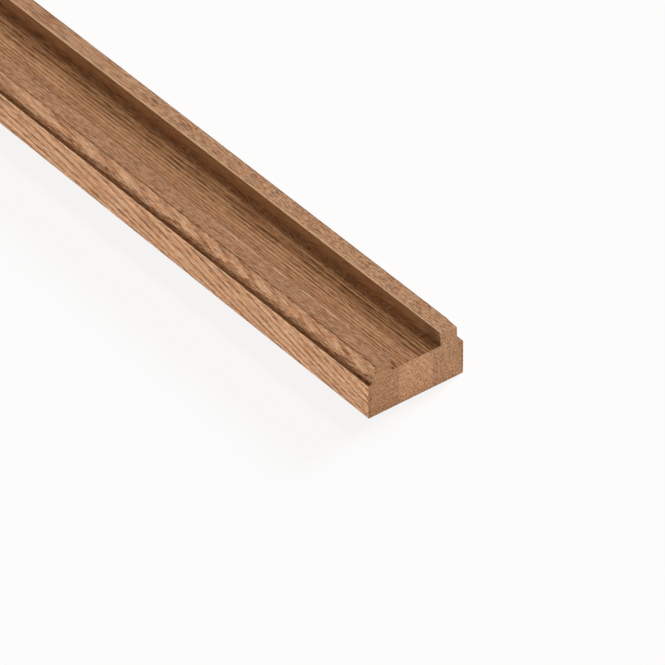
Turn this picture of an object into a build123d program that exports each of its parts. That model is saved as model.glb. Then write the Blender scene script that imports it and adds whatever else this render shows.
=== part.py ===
from build123d import *
import os

# Stair baserail: a moulded oak rail that lies along the string or floor of a stair and holds the feet of
# square balusters in its groove. It is glued up from three staves and then moulded to one section.
# Frame: +X along the rail, +Y across it, +Z up. The origin is under the middle of the rail, on its underside.
# All sizes are in millimetres.

# Stock
rail_length = 2400.0
rail_width = 62.0
rail_height = 32.5
middle_stave_width = 22.0

# Groove for the baluster feet
baluster_width = 32.0
groove_clearance = 0.5
groove_depth = 8.0

# Coved shoulder below the upright outer wall of each upstand
upstand_wall_height = 7.5
cove_radius = 4.0

# Arrises, eased as the moulder leaves them
upstand_arris_radius = 0.4
groove_arris_radius = 0.25
shoulder_arris_radius = 0.4
base_arris_radius = 0.5

half_width = rail_width / 2
half_groove = (baluster_width + groove_clearance) / 2
groove_floor = rail_height - groove_depth
upstand_face = half_width - cove_radius
cove_top = rail_height - upstand_wall_height
shoulder = cove_top - cove_radius
glue_plane = Plane.YZ.offset(middle_stave_width / 2)


def half_section():
    # Half of the section, from the middle line out to the side: local X is across the rail, local Y is up.
    with BuildSketch() as half:
        with BuildLine():
            Line((0, 0), (half_width, 0))
            Line((half_width, 0), (half_width, shoulder))
            CenterArc((half_width, cove_top), cove_radius, start_angle=180, arc_size=90)
            Line((upstand_face, cove_top), (upstand_face, rail_height))
            Line((upstand_face, rail_height), (half_groove, rail_height))
            Line((half_groove, rail_height), (half_groove, groove_floor))
            Line((half_groove, groove_floor), (0, groove_floor))
            Line((0, groove_floor), (0, 0))
        make_face()
    return half.sketch


def ease(sketch, across, up, radius):
    corner = sketch.vertices().sort_by_distance((across, up, 0))[0]
    return fillet(corner, radius)


def moulded_half():
    half = half_section()
    half = ease(half, half_width, 0, base_arris_radius)
    half = ease(half, half_width, shoulder, shoulder_arris_radius)
    half = ease(half, upstand_face, rail_height, upstand_arris_radius)
    return ease(half, half_groove, rail_height, groove_arris_radius)


def stave_sections():
    # The section is moulded as one, and the two glue planes part it into its staves.
    half = moulded_half()
    outer = split(half, glue_plane, keep=Keep.TOP)
    inner = split(half, glue_plane, keep=Keep.BOTTOM)
    return {
        "front_stave": mirror(outer, Plane.YZ),
        "middle_stave": inner + mirror(inner, Plane.YZ),
        "back_stave": outer,
    }


# The sections are set across the rail and extruded half its length to each side of the origin.
across_rail = Plane(origin=(0, 0, 0), x_dir=(0, 1, 0), z_dir=(1, 0, 0))

os.makedirs("parts", exist_ok=True)
for name, section in stave_sections().items():
    stave = extrude(across_rail * section, amount=rail_length / 2, both=True)
    export_step(stave, f"parts/{name}.step")
    print(name, round(stave.volume), "mm3")
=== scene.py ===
import math

import bmesh
import bpy
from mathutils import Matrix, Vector


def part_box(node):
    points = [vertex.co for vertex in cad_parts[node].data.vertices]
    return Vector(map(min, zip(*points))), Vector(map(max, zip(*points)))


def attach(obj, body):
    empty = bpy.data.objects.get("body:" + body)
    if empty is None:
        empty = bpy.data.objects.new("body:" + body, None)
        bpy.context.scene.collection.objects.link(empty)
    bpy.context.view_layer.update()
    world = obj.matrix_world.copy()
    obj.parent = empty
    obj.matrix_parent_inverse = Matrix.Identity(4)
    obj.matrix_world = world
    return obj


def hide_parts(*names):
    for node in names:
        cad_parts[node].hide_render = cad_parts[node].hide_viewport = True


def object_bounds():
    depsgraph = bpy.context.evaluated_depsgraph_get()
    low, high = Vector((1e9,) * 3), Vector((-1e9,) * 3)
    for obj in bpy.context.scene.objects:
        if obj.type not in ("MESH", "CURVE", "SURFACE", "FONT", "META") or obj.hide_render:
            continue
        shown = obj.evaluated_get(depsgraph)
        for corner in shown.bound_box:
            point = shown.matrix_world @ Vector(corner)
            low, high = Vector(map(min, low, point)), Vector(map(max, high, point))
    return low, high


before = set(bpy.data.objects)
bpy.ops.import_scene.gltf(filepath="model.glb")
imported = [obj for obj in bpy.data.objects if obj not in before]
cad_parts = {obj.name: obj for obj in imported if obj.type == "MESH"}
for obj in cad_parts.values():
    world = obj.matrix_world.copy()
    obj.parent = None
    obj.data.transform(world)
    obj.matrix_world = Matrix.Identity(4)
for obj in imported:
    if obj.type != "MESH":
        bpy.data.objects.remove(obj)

cadLow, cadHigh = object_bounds()
mm = 0.001
scene = bpy.context.scene
scene.view_settings.view_transform = "Standard"

# a length of glued oak baserail, lying flat with its near end towards the camera
# sizes taken from the parts in model.glb
railLength = cadHigh.x - cadLow.x
nearEnd = cadHigh.x
halfWidth = cadHigh.y
railHeight = cadHigh.z
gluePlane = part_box("middle_stave")[1].y
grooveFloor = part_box("middle_stave")[1].z

section = {
    "halfGroove": 16.25 * mm,
    "coveRadius": 4.0 * mm,
    "wallHeight": 7.5 * mm,        # upright outer wall of the upstand
    "upstandArris": 0.4 * mm,
    "grooveArris": 0.25 * mm,
    "shoulderArris": 0.4 * mm,
    "baseArris": 0.5 * mm,
    "arrisSteps": 5,
    "coveSteps": 12,
    "cutSpacing": 40 * mm,         # cross cuts along the rail
    "endCuts": (0.7, 1.5, 2.5, 4, 6, 8, 10, 13, 18),  # mm from the near end, where the edges are bruised
    "sharpAngle": 35,              # degrees, edges up to this are shaded smooth
}
outerWall = halfWidth - section["coveRadius"]


def lineTo(bm, vert, across, up):
    tip = bmesh.ops.extrude_vert_indiv(bm, verts=[vert])["verts"][0]
    tip.co = (nearEnd, across, up)
    return tip


def arcAbout(bm, vert, across, up, degrees, steps):
    made = bmesh.ops.spin(bm, geom=[vert], cent=(nearEnd, across, up), axis=(1, 0, 0),
                          angle=math.radians(degrees), steps=steps)
    return [item for item in made["geom_last"] if isinstance(item, bmesh.types.BMVert)][0]


# half the moulding, from the glue plane round the shoulder, cove and upstand to the groove floor
def drawOuterSection(bm):
    s = section
    coveTop = railHeight - s["wallHeight"]
    reach = s["coveRadius"] + s["shoulderArris"]  # between the centres of the cove and of its arris
    lean = math.degrees(math.asin(s["shoulderArris"] / reach))
    arrisUp = coveTop - reach * math.cos(math.radians(lean))
    lip = s["halfGroove"] + s["grooveArris"]
    start = bm.verts.new((nearEnd, gluePlane, 0))
    tip = lineTo(bm, start, halfWidth - s["baseArris"], 0)
    tip = arcAbout(bm, tip, halfWidth - s["baseArris"], s["baseArris"], 90, s["arrisSteps"])
    tip = lineTo(bm, tip, halfWidth, arrisUp)
    tip = arcAbout(bm, tip, halfWidth - s["shoulderArris"], arrisUp, 90 - lean, s["arrisSteps"])
    tip = arcAbout(bm, tip, halfWidth, coveTop, lean - 90, s["coveSteps"])
    arrisTop = railHeight - s["upstandArris"]
    tip = lineTo(bm, tip, outerWall, arrisTop)
    tip = arcAbout(bm, tip, outerWall - s["upstandArris"], arrisTop, 90, s["arrisSteps"])
    tip = lineTo(bm, tip, lip, railHeight)
    tip = arcAbout(bm, tip, lip, railHeight - s["grooveArris"], 90, s["arrisSteps"])
    tip = lineTo(bm, tip, s["halfGroove"], grooveFloor)
    tip = lineTo(bm, tip, gluePlane, grooveFloor)
    bm.edges.new((tip, start))


def drawMiddleSection(bm):
    start = bm.verts.new((nearEnd, -gluePlane, 0))
    tip = lineTo(bm, start, gluePlane, 0)
    tip = lineTo(bm, tip, gluePlane, grooveFloor)
    tip = lineTo(bm, tip, -gluePlane, grooveFloor)
    bm.edges.new((tip, start))


# presses an edge in at the near end, less and less towards its reach and its length
def bruise(bm, spot, push, reach, length):
    for vert in bm.verts:
        along = (nearEnd - vert.co.x) / length
        around = math.hypot(vert.co.y - spot[0], vert.co.z - spot[1]) / reach
        if along < 1 and around < 1:
            share = (1 - along * along) * (1 - around * around)
            vert.co.y += push[0] * share
            vert.co.z += push[1] * share


def makeStave(name, look):
    bm = bmesh.new()
    look["draw"](bm)
    face = bmesh.ops.edgeloop_fill(bm, edges=bm.edges[:])["faces"]
    made = bmesh.ops.extrude_face_region(bm, geom=face)["geom"]
    swept = [item for item in made if isinstance(item, bmesh.types.BMVert)]
    bmesh.ops.translate(bm, verts=swept, vec=(-railLength, 0, 0))
    lengthwise = [e for e in bm.edges if abs(e.verts[0].co.x - e.verts[1].co.x) > railLength / 2]
    cuts = int(railLength / section["cutSpacing"]) - 1
    bmesh.ops.subdivide_edges(bm, edges=lengthwise, cuts=cuts, use_grid_fill=True)
    if look["bruises"]:
        for distance in section["endCuts"]:
            bmesh.ops.bisect_plane(bm, geom=bm.verts[:] + bm.edges[:] + bm.faces[:],
                                   plane_co=(nearEnd - distance * mm, 0, 0), plane_no=(1, 0, 0))
    if look["mirrored"]:
        bmesh.ops.scale(bm, vec=(1, -1, 1), verts=bm.verts[:])
    for mark in look["bruises"]:
        bruise(bm, **mark)
    bmesh.ops.recalc_face_normals(bm, faces=bm.faces[:])
    mesh = bpy.data.meshes.new(name)
    bm.to_mesh(mesh)
    print(name, "faces", len(bm.faces), "open edges", sum(not e.is_manifold for e in bm.edges))
    bm.free()
    mesh.shade_smooth()
    mesh.set_sharp_from_angle(angle=math.radians(section["sharpAngle"]))
    piece = bpy.data.objects.new(name, mesh)
    scene.collection.objects.link(piece)
    weighted = piece.modifiers.new("flat faces", "WEIGHTED_NORMAL")
    weighted.keep_sharp = True
    return piece


def linear(hexColour):
    parts = [int(hexColour[i:i + 2], 16) / 255 for i in (1, 3, 5)]
    return tuple(c / 12.92 if c <= 0.04045 else ((c + 0.055) / 1.055) ** 2.4 for c in parts) + (1.0,)


def addNode(tree, kind, inputs=None, **settings):
    node = tree.nodes.new(kind)
    for name, value in settings.items():
        setattr(node, name, value)
    for socket, value in (inputs or {}).items():
        if isinstance(value, bpy.types.Node):  # a node stands for its first live output
            value = [out for out in value.outputs if out.enabled][0]
        if isinstance(value, bpy.types.NodeSocket):
            tree.links.new(value, node.inputs[socket])
        else:
            node.inputs[socket].default_value = value
    return node


numberMath = "ShaderNodeMath"
vectorMath = "ShaderNodeVectorMath"
mapRange = "ShaderNodeMapRange"
noiseTexture = "ShaderNodeTexNoise"
cellTexture = "ShaderNodeTexVoronoi"
mixNode = "ShaderNodeMix"

# sizes in mm, along the rail, across and up where there are three
oak = {
    "tones": ((0.0, "#563319"), (0.28, "#8F6140"), (0.50, "#AE815D"), (0.72, "#C2966F"), (1.0, "#D6B08B")),
    "pore": "#4A2A14",
    "highlightAndRub": "#D4B08C",            # pale: painted highlights on the arrises, painted light on the groove wall, and a scratch's pale side
    "shadeAndDirt": "#5E3518",            # dark: painted shade in the coves, on arrises, on the groove floor and at chips, and a scratch's dark side
    "silver": (0.93, 1.015, 1.10),  # the colour drifts between a greyer and a redder wood
    "russet": (1.07, 0.985, 0.90),
    "blush": (7, 1.3, 1.3),         # size of that drift
    "endBlush": (1.5, 1.5, 1.5),
    "wander": (240, 50, 50),        # slow bend of the grain
    "ripple": (11, 1.0, 1.0),       # small waves that fray the rings
    "swing": 1500,                  # the pith leans over and back in this length
    "yearRhythm": 0.37,             # runs of wide and narrow years, in waves for each year
    "summerWood": (0.09, 0.25),     # where it sets in and is full, in ring widths from the ring's edge
    "streak": (40, 1.3, 1.3),
    "cloud": (160, 9, 9),
    "speckle": (1.0, 1.0, 1.0),     # cut fibres on the sawn end, drawn coarser than they are
    "speckleTurn": 0.955,           # radians about a diagonal, so that the noise's grid misses the ends
    "poreWidth": 0.85,              # over twice the real pore, so that it shows in the render
    "poreRoom": (0.44, 0.22),       # reach of a pore in its cell, in spring and in summer wood
    "poreEdge": (-0.12, 0.06),      # its soft edge, inside and outside
    "raySize": (6, 11, 0.8),        # along the rail, across the rings and along them
    "rayEdge": (0.25, 0.50),        # a ray is full to the first reach in its cell and gone at the second
    "markEdge": (0.3, 1.0),         # a mark is full to the first share of its reach and gone at the second
    # how sharply each kind of grain turns from dark to pale
    "crisp": {"strokes": 4.5, "fibres": 4.5, "streaks": 2, "clouds": 2, "speckles": 3.5, "blush": 3},
    "noiseShift": (0.45, 0.3, 0.3),  # moves the grain clear of the noise's own grid
    "endShare": 0.15,               # how much of the long grain shows on the sawn ends
    "bumpStrength": 0.35,
    "bumpHeight": 0.2,
    "roughness": (0.58, 0.78),      # of open and of raised grain
    "ior": 1.5,
    "specular": 0.12,               # dull, because nothing seals the wood
}

allAlong = 1e6  # reach of a mark that runs the whole rail

# log: the pith's place across and up in mm, its slope along the rail, and the rings about it
# shares: how far each kind of grain shifts the tone
# growth: by what part a share grows with each mm along, across and up
# marks: place and reach along, across and up in mm, colour and strength; most are painted shade and painted
# highlights, a few are wear
staves = {
    "frontStave": {
        "node": "front_stave",
        "wood": "planedOakFront",
        "draw": drawOuterSection,
        "mirrored": True,
        "seed": 3.1,
        "tint": (0.925, 0.92, 0.92),
        "endTint": (0.80, 0.78, 0.75),
        "log": {
            "pith": (-92.0, 34.5),
            "slope": (0.0755, 0.0),
            "ringWidth": 1.45,
            "uneven": 0.5,          # how far the years shift, in rings
            "tangent": (0, 0, 1),   # direction along the rings
            "shear": 2.49,          # strokes lean with the slope by this much
            "wander": 0.4,
            "ripple": 0.80,
        },
        "shares": {
            "rings": 0.325, "years": 0.05, "clouds": 0.02, "streaks": 0.07, "strokes": 0.34, "fibres": 0.29,
            "pores": 0.35, "rays": 0.05, "endRays": 0.15, "speckles": 0.38,
        },
        "growth": {"rings": (0, 0, -0.0165)},
        "strokeSize": (24, 0.44, 1.05),
        "fibreSize": (4, 0.60, 0.60),
        "poreLength": 7.0,
        "marks": [
            ((0, -29.5, 22.0), (allAlong, 3.5, 4.0), "shadeAndDirt", 0.28),   # cove: painted shade
            ((-4, -29.6, 21.3), (8, 1.6, 1.3), "shadeAndDirt", 0.60),         # cove, near end: painted shade
            ((0, -27.0, 30.0), (allAlong, 1.5, 6.0), "shadeAndDirt", 0.17),   # outer wall: painted shade
            ((0, -31.0, 20.6), (allAlong, 0.9, 0.9), "highlightAndRub", 0.42),   # shoulder arris: painted highlight
            ((0, -26.8, 32.3), (allAlong, 0.8, 0.8), "shadeAndDirt", 0.45),   # outer arris of the upstand: painted shade
            ((0, -16.4, 32.3), (allAlong, 0.9, 0.9), "shadeAndDirt", 0.55),   # groove arris: painted shade
            ((0, -17.3, 32.5), (allAlong, 0.6, 0.6), "highlightAndRub", 0.25),   # painted highlight along the groove arris
            ((-127, -17.2, 32.5), (26, 0.7, 0.7), "highlightAndRub", 0.8),       # stronger stretches of that painted highlight
            ((-94, -17.3, 32.5), (11, 0.7, 0.7), "highlightAndRub", 0.7),
            ((-67, -17.3, 32.5), (9, 0.7, 0.7), "highlightAndRub", 0.7),
            ((-48, -17.5, 32.5), (12, 0.6, 0.6), "highlightAndRub", 0.7),
            ((0, -26.8, 32.0), (2.5, 1.2, 1.2), "shadeAndDirt", 0.7),         # bruised corner: painted shade in the dent
            ((0, -31.0, 0.0), (allAlong, 1.0, 1.0), "shadeAndDirt", 0.5),     # lower arris: painted shade where the rail meets the floor
            ((1.0, -30.0, 9.0), (1.6, 1.6, 14.0), "shadeAndDirt", 0.8),       # upright edge of the near end: painted shade
            ((-1.0, -14.7, 24.5), (1.8, 1.2, 1.2), "shadeAndDirt", 1.0),      # chips at the mouth of the groove, drawn only as painted shade
            ((-4.6, -11.7, 24.5), (3.2, 1.4, 1.2), "shadeAndDirt", 0.9),
            ((-1.6, -12.4, 24.5), (2.2, 1.4, 1.2), "shadeAndDirt", 0.6),
        ],
        "bruises": [
            {"spot": (-outerWall, railHeight), "push": (0.4 * mm, -0.3 * mm), "reach": 1.0 * mm,
             "length": 3 * mm},
            {"spot": (-section["halfGroove"], railHeight - 5 * mm), "push": (-0.6 * mm, 0),
             "reach": 2 * mm, "length": 2.2 * mm},
        ],
    },
    "middleStave": {
        "node": "middle_stave",
        "wood": "planedOakMiddle",
        "draw": drawMiddleSection,
        "mirrored": False,
        "seed": 7.7,
        "tint": (0.875, 0.84, 0.775),
        "endTint": (0.99, 0.99, 1.01),
        "log": {
            "pith": (30.0, -45.0),
            "slope": (0.004, 0.0),
            "ringWidth": 0.95,
            "uneven": 0.4,
            "tangent": (0, 0.81, 0.59),
            "shear": 0,
            "wander": 0.35,
            "ripple": 0.1,
        },
        "shares": {
            "rings": 0.22, "years": 0.06, "clouds": 0.04, "streaks": 0.05, "strokes": 0.44, "fibres": 0.36,
            "pores": 0.62, "rays": 0.10, "endRays": 0.16, "speckles": 0.36,
        },
        "growth": {"pores": (0, 0.06, 0), "strokes": (0, 0.06, 0)},
        "strokeSize": (36, 0.22, 0.8),
        "fibreSize": (5, 0.46, 0.46),
        "poreLength": 15.0,
        "marks": [
            ((0, -9.5, 24.5), (allAlong, 5.0, 2.0), "shadeAndDirt", 0.16),    # painted shade on the groove floor, under the front arris and beside the back wall
            ((0, 10.5, 24.5), (allAlong, 6.0, 2.0), "shadeAndDirt", 0.20),
        ],
        "bruises": [],
    },
    "backStave": {
        "node": "back_stave",
        "wood": "planedOakBack",
        "draw": drawOuterSection,
        "mirrored": False,
        "seed": 11.3,
        "tint": (1.03, 1.09, 1.17),
        "endTint": (0.825, 0.83, 0.84),
        "log": {
            "pith": (20.0, -75.0),
            "slope": (0.0, 0.17),
            "ringWidth": 2.4,
            "uneven": 2.2,
            "tangent": (0, 1, 0),
            "shear": 0,
            "wander": 1.0,
            "ripple": 0.30,
        },
        "shares": {
            "rings": 0.05, "years": 0.02, "clouds": 0.035, "streaks": 0.06, "strokes": 0.24, "fibres": 0.38,
            "pores": 0.12, "rays": 0.10, "endRays": 0.15, "speckles": 0.38,
        },
        "growth": {},
        "strokeSize": (26, 0.80, 0.7),
        "fibreSize": (10, 0.62, 0.42),
        "poreLength": 18.0,
        "marks": [
            ((0, 16.5, 32.5), (allAlong, 0.9, 0.9), "highlightAndRub", 1.0),     # groove arris: painted highlight
            ((0, 16.2, 31.0), (allAlong, 1.5, 7.5), "highlightAndRub", 0.75),    # groove wall: painted light
            ((-4, 15.9, 29.0), (13, 0.9, 8), "shadeAndDirt", 0.55),           # groove wall, near end: painted shade
            ((-15, 17.7, 32.5), (18.0, 0.5, 0.5), "shadeAndDirt", 0.4),       # scratch, dark beside pale
            ((-13, 18.4, 32.5), (16.0, 0.6, 0.6), "highlightAndRub", 0.6),
            ((0, 26.9, 32.4), (allAlong, 0.9, 0.9), "shadeAndDirt", 0.55),    # outer arris of the upstand: painted shade
            ((1.0, 30.2, 9.0), (1.6, 1.4, 14.0), "shadeAndDirt", 0.8),        # upright edge of the near end: painted shade
            ((0, 29.5, 22.0), (allAlong, 3.5, 4.0), "shadeAndDirt", 0.45),    # cove: painted shade
            ((0, 31.0, 20.6), (allAlong, 0.9, 0.9), "highlightAndRub", 0.42),    # shoulder arris: painted highlight
            ((0, 31.0, 0.0), (allAlong, 1.0, 1.0), "shadeAndDirt", 0.5),      # lower arris: painted shade where the rail meets the floor
        ],
        "bruises": [
            {"spot": (outerWall, railHeight), "push": (-0.35 * mm, -0.35 * mm), "reach": 1.0 * mm,
             "length": 9 * mm},
        ],
    },
}


def perSize(size):
    return [1 / side for side in size]


# places in the wood: millimetres from the near end, from the pith, and along, across and round the rings
def grainSpace(tree, look):
    log = look["log"]
    where = addNode(tree, "ShaderNodeTexCoord")
    spot = addNode(tree, vectorMath, {
        0: where.outputs["Object"], 1: (1 / mm,) * 3, 2: (-nearEnd / mm, 0, 0)}, operation="MULTIPLY_ADD")
    bent = spot
    for key in ("wander", "ripple"):
        place = addNode(tree, vectorMath, {0: spot, 1: perSize(oak[key]), 2: (look["seed"],) * 3},
                        operation="MULTIPLY_ADD")
        push = addNode(tree, noiseTexture, {"Vector": place, "Scale": 1, "Detail": 1})
        bent = addNode(tree, vectorMath, {0: push.outputs["Color"], 1: (0, log[key], log[key]), 2: bent},
                       operation="MULTIPLY_ADD")
    swing = 2 * math.pi / oak["swing"]
    phase = addNode(tree, vectorMath, {0: spot, 1: (swing, 0, 0)}, operation="DOT_PRODUCT")
    lean = addNode(tree, numberMath, {0: phase}, operation="SINE")
    drift = addNode(tree, vectorMath, {
        0: (0, log["slope"][0] / swing, log["slope"][1] / swing), "Scale": lean}, operation="SCALE")
    fromPith = addNode(tree, vectorMath, {0: bent, 1: (0, *log["pith"])}, operation="SUBTRACT")
    fromPith = addNode(tree, vectorMath, {0: fromPith, 1: drift}, operation="SUBTRACT")
    across = addNode(tree, vectorMath, {0: fromPith, 1: (0, 1, 1)}, operation="MULTIPLY")
    radius = addNode(tree, vectorMath, {0: across}, operation="LENGTH")
    sheared = addNode(tree, vectorMath, {0: drift, 1: (0, log["shear"], 0)}, operation="DOT_PRODUCT")
    aside = addNode(tree, vectorMath, {0: fromPith, 1: log["tangent"]}, operation="DOT_PRODUCT")
    aside = addNode(tree, numberMath, {0: aside, 1: sheared}, operation="ADD")
    along = addNode(tree, vectorMath, {0: fromPith, 1: (1, 0, 0)}, operation="DOT_PRODUCT")
    byRing = addNode(tree, "ShaderNodeCombineXYZ", {0: along, 1: radius, 2: aside})
    turned = addNode(tree, "ShaderNodeVectorRotate", {
        "Vector": spot, "Axis": (0, -1, 1), "Angle": oak["speckleTurn"]})
    facing = addNode(tree, "ShaderNodeSeparateXYZ", {0: where.outputs["Normal"]})
    facing = addNode(tree, numberMath, {0: facing}, operation="ABSOLUTE")
    onEnd = addNode(tree, numberMath, {0: facing, 1: 0.5}, operation="GREATER_THAN")  # 1 on the sawn ends
    return {"spot": spot, "fromPith": fromPith, "radius": radius, "byRing": byRing, "turned": turned,
            "onEnd": onEnd}


def yearRings(tree, log, radius):
    number = addNode(tree, numberMath, {0: radius, 1: 1 / log["ringWidth"]}, operation="MULTIPLY")
    slowYears = addNode(tree, numberMath, {0: number, 1: oak["yearRhythm"]}, operation="MULTIPLY")
    uneven = addNode(tree, noiseTexture, {"W": slowYears, "Scale": 1, "Detail": 1}, noise_dimensions="1D")
    number = addNode(tree, numberMath, {0: uneven, 1: log["uneven"], 2: number}, operation="MULTIPLY_ADD")
    inRing = addNode(tree, numberMath, {0: number, 1: 0.5}, operation="PINGPONG")
    year = addNode(tree, numberMath, {0: number}, operation="FLOOR")
    yearTone = addNode(tree, "ShaderNodeTexWhiteNoise", {"W": year}, noise_dimensions="1D")
    setIn, full = oak["summerWood"]
    late = addNode(tree, mapRange, {"Value": inRing, "From Min": setIn, "From Max": full},
                   interpolation_type="SMOOTHSTEP")
    return late, yearTone


def grainMark(tree, vector, size, crisp):
    place = addNode(tree, vectorMath, {0: vector, 1: perSize(size), 2: oak["noiseShift"]},
                    operation="MULTIPLY_ADD")
    noise = addNode(tree, noiseTexture, {"Vector": place, "Scale": 1, "Detail": 2})
    half = 0.5 / crisp
    return addNode(tree, mapRange, {"Value": noise, "From Min": 0.5 - half, "From Max": 0.5 + half})


def openPores(tree, look, fromPith, late):
    size = (look["poreLength"], oak["poreWidth"], oak["poreWidth"])
    place = addNode(tree, vectorMath, {0: fromPith, 1: perSize(size)}, operation="MULTIPLY")
    distance = addNode(tree, cellTexture, {"Vector": place, "Scale": 1})
    spring, summer = oak["poreRoom"]
    room = addNode(tree, mapRange, {"Value": late, "To Min": spring, "To Max": summer})
    gap = addNode(tree, numberMath, {0: distance, 1: room}, operation="SUBTRACT")
    inside, outside = oak["poreEdge"]
    return addNode(tree, mapRange, {
        "Value": gap, "From Min": inside, "From Max": outside, "To Min": 1, "To Max": 0})


def rayFlecks(tree, byRing):
    place = addNode(tree, vectorMath, {0: byRing, 1: perSize(oak["raySize"])}, operation="MULTIPLY")
    distance = addNode(tree, cellTexture, {"Vector": place, "Scale": 1})
    inside, outside = oak["rayEdge"]
    return addNode(tree, mapRange, {
        "Value": distance, "From Min": inside, "From Max": outside, "To Min": 1, "To Max": 0})


def drawGrain(tree, look, space):
    crisp = oak["crisp"]
    fromPith = space["fromPith"]
    late, yearTone = yearRings(tree, look["log"], space["radius"])
    fibre = grainMark(tree, fromPith, look["fibreSize"], crisp["fibres"])
    speckle = grainMark(tree, space["turned"], oak["speckle"], crisp["speckles"])
    return {
        "rings": late,
        "years": yearTone,
        "clouds": grainMark(tree, fromPith, oak["cloud"], crisp["clouds"]),
        "streaks": grainMark(tree, fromPith, oak["streak"], crisp["streaks"]),
        "strokes": grainMark(tree, space["byRing"], look["strokeSize"], crisp["strokes"]),
        "fibres": addNode(tree, mixNode, {"Factor": space["onEnd"], "A": fibre, "B": speckle}),
        "rays": rayFlecks(tree, space["byRing"]),
        "pores": openPores(tree, look, fromPith, late),
    }


# on the sawn ends the rings hardly show, and the cut fibres make an even speckle
def grainShares(tree, look, space):
    share = dict(look["shares"])
    onEnd = space["onEnd"]
    for key in ("rings", "pores", "strokes", "streaks"):
        share[key] = addNode(tree, mapRange, {
            "Value": onEnd, "To Min": share[key], "To Max": oak["endShare"] * share[key]})
    for key, endKey in (("rays", "endRays"), ("fibres", "speckles")):
        share[key] = addNode(tree, mapRange, {
            "Value": onEnd, "To Min": share[key], "To Max": share[endKey]})
    for key, growth in look["growth"].items():
        gain = addNode(tree, vectorMath, {0: space["spot"], 1: growth}, operation="DOT_PRODUCT")
        gain = addNode(tree, numberMath, {0: gain, 1: 1.0}, operation="ADD")
        share[key] = addNode(tree, numberMath, {0: share[key], 1: gain}, operation="MULTIPLY")
    return share


# the grain adds up to one tone, which picks the colour
def woodColour(tree, look, space, grain, share):
    tone = 0.5
    for key in ("rings", "years", "clouds", "streaks", "strokes", "fibres"):
        signed = addNode(tree, numberMath, {0: grain[key], 1: 0.5}, operation="SUBTRACT")
        tone = addNode(tree, numberMath, {0: signed, 1: share[key], 2: tone}, operation="MULTIPLY_ADD")
    tone = addNode(tree, numberMath, {0: grain["rays"], 1: share["rays"], 2: tone},
                   operation="MULTIPLY_ADD")
    wood = addNode(tree, "ShaderNodeValToRGB", {"Fac": tone})
    ramp = wood.color_ramp
    first, *between, last = oak["tones"]
    ramp.elements[0].color = linear(first[1])
    ramp.elements[1].color = linear(last[1])
    for position, colour in between:
        ramp.elements.new(position).color = linear(colour)
    onEnd = space["onEnd"]
    tint = addNode(tree, mixNode, {"Factor": onEnd, "A": look["tint"], "B": look["endTint"]},
                   data_type="VECTOR")
    wood = addNode(tree, vectorMath, {0: wood, 1: tint}, operation="MULTIPLY")
    crisp = oak["crisp"]["blush"]
    blush = addNode(tree, mixNode, {
        "Factor": onEnd, "A": grainMark(tree, space["fromPith"], oak["blush"], crisp),
        "B": grainMark(tree, space["turned"], oak["endBlush"], crisp)})
    hue = addNode(tree, mixNode, {"Factor": blush, "A": oak["silver"], "B": oak["russet"]},
                  data_type="VECTOR")
    wood = addNode(tree, vectorMath, {0: wood, 1: hue}, operation="MULTIPLY")
    pored = addNode(tree, numberMath, {0: grain["pores"], 1: share["pores"]}, operation="MULTIPLY")
    return addNode(tree, mixNode, {"Factor": pored, "A": wood, "B": linear(oak["pore"])}, data_type="RGBA")


# pale marks, mostly painted highlight, follow the raised grain of the long faces; dark marks, mostly
# painted shade, sit in the open grain
def shadeHighlightAndWear(tree, look, space, fibres, wood):
    raised = addNode(tree, numberMath, {0: fibres, 1: 0.5}, operation="ADD")
    takes = {
        "highlightAndRub": addNode(tree, mixNode, {"Factor": space["onEnd"], "A": raised, "B": 0.0}),
        "shadeAndDirt": addNode(tree, numberMath, {0: 1.5, 1: fibres}, operation="SUBTRACT"),
    }
    full, gone = oak["markEdge"]
    for place, reach, colour, strength in look["marks"]:
        offset = addNode(tree, vectorMath, {0: space["spot"], 1: place}, operation="SUBTRACT")
        offset = addNode(tree, vectorMath, {0: offset, 1: perSize(reach)}, operation="MULTIPLY")
        away = addNode(tree, vectorMath, {0: offset}, operation="LENGTH")
        patch = addNode(tree, mapRange, {
            "Value": away, "From Min": full, "From Max": gone, "To Min": strength, "To Max": 0})
        mask = addNode(tree, numberMath, {0: patch, 1: takes[colour]}, operation="MULTIPLY", use_clamp=True)
        wood = addNode(tree, mixNode, {"Factor": mask, "A": wood, "B": linear(oak[colour])},
                       data_type="RGBA")
    return wood


# planed unfinished oak: open pores and rings run with the stave, ray flecks shine where it is quartered
def makeOak(look):
    material = bpy.data.materials.new(look["wood"])
    material.use_nodes = True
    tree = material.node_tree
    tree.nodes.clear()
    space = grainSpace(tree, look)
    grain = drawGrain(tree, look, space)
    share = grainShares(tree, look, space)
    wood = woodColour(tree, look, space, grain, share)
    # painted shade and painted highlights, with a little wear, go over the grain
    wood = shadeHighlightAndWear(tree, look, space, grain["fibres"], wood)
    # pores sink, fibres stand a little proud
    height = addNode(tree, numberMath, {0: grain["pores"], 1: -1.0, 2: grain["fibres"]},
                     operation="MULTIPLY_ADD")
    bump = addNode(tree, "ShaderNodeBump", {
        "Height": height, "Strength": oak["bumpStrength"], "Distance": oak["bumpHeight"] * mm})
    smooth, rough = oak["roughness"]
    roughness = addNode(tree, mapRange, {"Value": grain["fibres"], "To Min": smooth, "To Max": rough})
    shader = addNode(tree, "ShaderNodeBsdfPrincipled", {
        "Base Color": wood, "Roughness": roughness, "Normal": bump, "IOR": oak["ior"],
        "Specular IOR Level": oak["specular"]})
    addNode(tree, "ShaderNodeOutputMaterial", {"Surface": shader})
    return material


rail = bpy.data.collections.new("rail")  # all that shades the lamps that shine through the floor
for name, look in staves.items():
    piece = makeStave(name, look)
    rail.objects.link(piece)
    piece.data.materials.append(makeOak(look))
    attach(piece, "root")
    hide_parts(look["node"])
print("staves made and grained")

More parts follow.
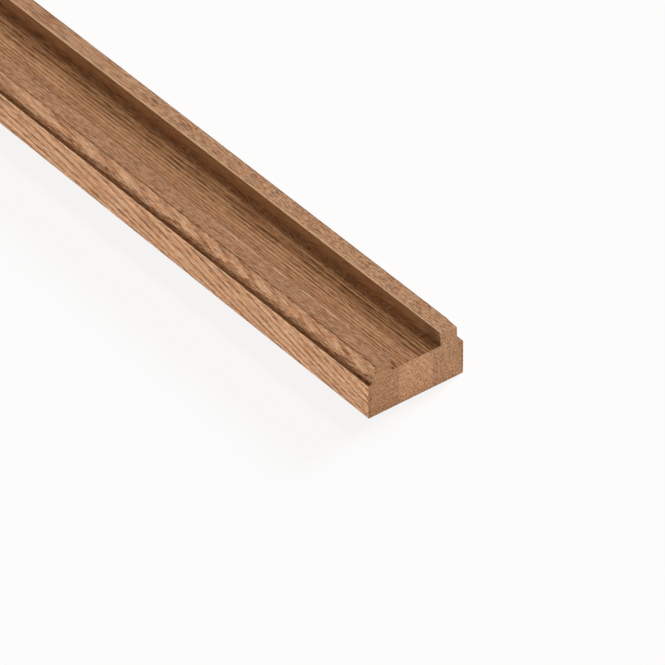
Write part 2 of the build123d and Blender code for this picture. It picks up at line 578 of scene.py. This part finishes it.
# the photograph's angle, aimed so that the near end falls where it does there
photoCamera = {
    "azimuth": 51.7176,
    "elevation": 38.2682,
    "distance": 2.5877,
    "aimPoint": Vector((nearEnd, 0, 16 * mm)),
    "aimPixel": (416.0, 371.1),
    "focalPixels": 5046.06,
    "imagePixels": 665,
    "sensorWidth": 36,
    "clipEnd": 200,
}


def makeCamera(look):
    azimuth = math.radians(look["azimuth"])
    elevation = math.radians(look["elevation"])
    back = Vector((math.sin(azimuth) * math.cos(elevation), -math.cos(azimuth) * math.cos(elevation),
                   math.sin(elevation)))
    data = bpy.data.cameras.new("photoCamera")
    data.sensor_width = look["sensorWidth"]
    data.lens = look["focalPixels"] / look["imagePixels"] * data.sensor_width
    data.clip_end = look["clipEnd"]
    camera = bpy.data.objects.new("photoCamera", data)
    scene.collection.objects.link(camera)
    middle = look["imagePixels"] / 2
    aim = Vector((look["aimPixel"][0] - middle, middle - look["aimPixel"][1], -look["focalPixels"]))
    camera.location = look["aimPoint"] + back * look["distance"]
    camera.rotation_mode = "QUATERNION"
    turn = aim.rotation_difference(Vector((0, 0, -1)))
    camera.rotation_quaternion = (-back).to_track_quat("-Z", "Y") @ turn
    scene.camera = camera


makeCamera(photoCamera)
print("camera set")

studio = {
    "floor": "#F4F4F4",
    "floorSize": 60,              # metres each way, past every camera
    "floorWhite": 0.87,           # how far the floor is lifted to white, the rest keeps shadows
    "sky": (1.0, 0.79, 0.58, 1),  # warm bounce of a timber shop
    "skyStrength": 0.26,
}
lights = {
    "highSun": {"from": (-0.15, 0.55, 0.85), "strength": 1.20, "angle": 9, "colour": (1.0, 0.95, 0.90),
                "throughFloor": False},
    "lowSun": {"from": (-0.20, 0.88, 0.47), "strength": 2.36, "angle": 14, "colour": (0.95, 1.02, 1.17),
               "throughFloor": False},
    "sideSun": {"from": (0.0, -1.0, -0.30), "strength": 3.0, "angle": 8, "colour": (0.95, 1.01, 1.12),
                "throughFloor": True},
    "endSun": {"from": (1.0, 0.03, -0.05), "strength": 1.7, "angle": 2, "colour": (0.95, 1.01, 1.12),
               "throughFloor": True},
}
white = (1, 1, 1, 1)


def backdropMask(tree):
    path = addNode(tree, "ShaderNodeLightPath")
    mask = path.outputs["Is Camera Ray"]
    for kind in ("Is Glossy Ray", "Is Transmission Ray"):
        mask = addNode(tree, numberMath, {0: mask, 1: path.outputs[kind]}, operation="MAXIMUM")
    return mask


# matte white board: dull and even, so that it shows only soft shadows
def makeBoard():
    material = bpy.data.materials.new("matteWhiteBoard")
    material.use_nodes = True
    tree = material.node_tree
    tree.nodes.clear()
    lift = addNode(tree, numberMath, {0: backdropMask(tree), 1: studio["floorWhite"]}, operation="MULTIPLY")
    board = addNode(tree, "ShaderNodeBsdfDiffuse", {"Color": linear(studio["floor"])})
    glow = addNode(tree, "ShaderNodeEmission", {"Color": white, "Strength": 1})
    mixed = addNode(tree, "ShaderNodeMixShader", {0: lift, 1: board, 2: glow})
    addNode(tree, "ShaderNodeOutputMaterial", {"Surface": mixed})
    return material


def makeFloor():
    bm = bmesh.new()
    bmesh.ops.create_grid(bm, x_segments=1, y_segments=1, size=studio["floorSize"])
    mesh = bpy.data.meshes.new("floor")
    bm.to_mesh(mesh)
    bm.free()
    mesh.materials.append(makeBoard())
    floor = bpy.data.objects.new("floor", mesh)
    scene.collection.objects.link(floor)


def makeSky():
    world = bpy.data.worlds.new("studio")
    scene.world = world
    world.use_nodes = True
    tree = world.node_tree
    tree.nodes.clear()
    bounce = addNode(tree, "ShaderNodeBackground", {
        "Color": studio["sky"], "Strength": studio["skyStrength"]})
    backdrop = addNode(tree, "ShaderNodeBackground", {"Color": white, "Strength": 1})
    mixed = addNode(tree, "ShaderNodeMixShader", {0: backdropMask(tree), 1: bounce, 2: backdrop})
    addNode(tree, "ShaderNodeOutputWorld", {"Surface": mixed})


def makeSun(name, look):
    data = bpy.data.lights.new(name, "SUN")
    data.energy = look["strength"]
    data.color = look["colour"]
    data.angle = math.radians(look["angle"])
    lamp = bpy.data.objects.new(name, data)
    lamp.rotation_mode = "QUATERNION"
    lamp.rotation_quaternion = Vector(look["from"]).to_track_quat("Z", "Y")
    scene.collection.objects.link(lamp)
    if look["throughFloor"]:  # stands for the light that a lit table throws up
        lamp.light_linking.blocker_collection = rail


makeFloor()
makeSky()
for name, look in lights.items():
    makeSun(name, look)
print("floor and light set")
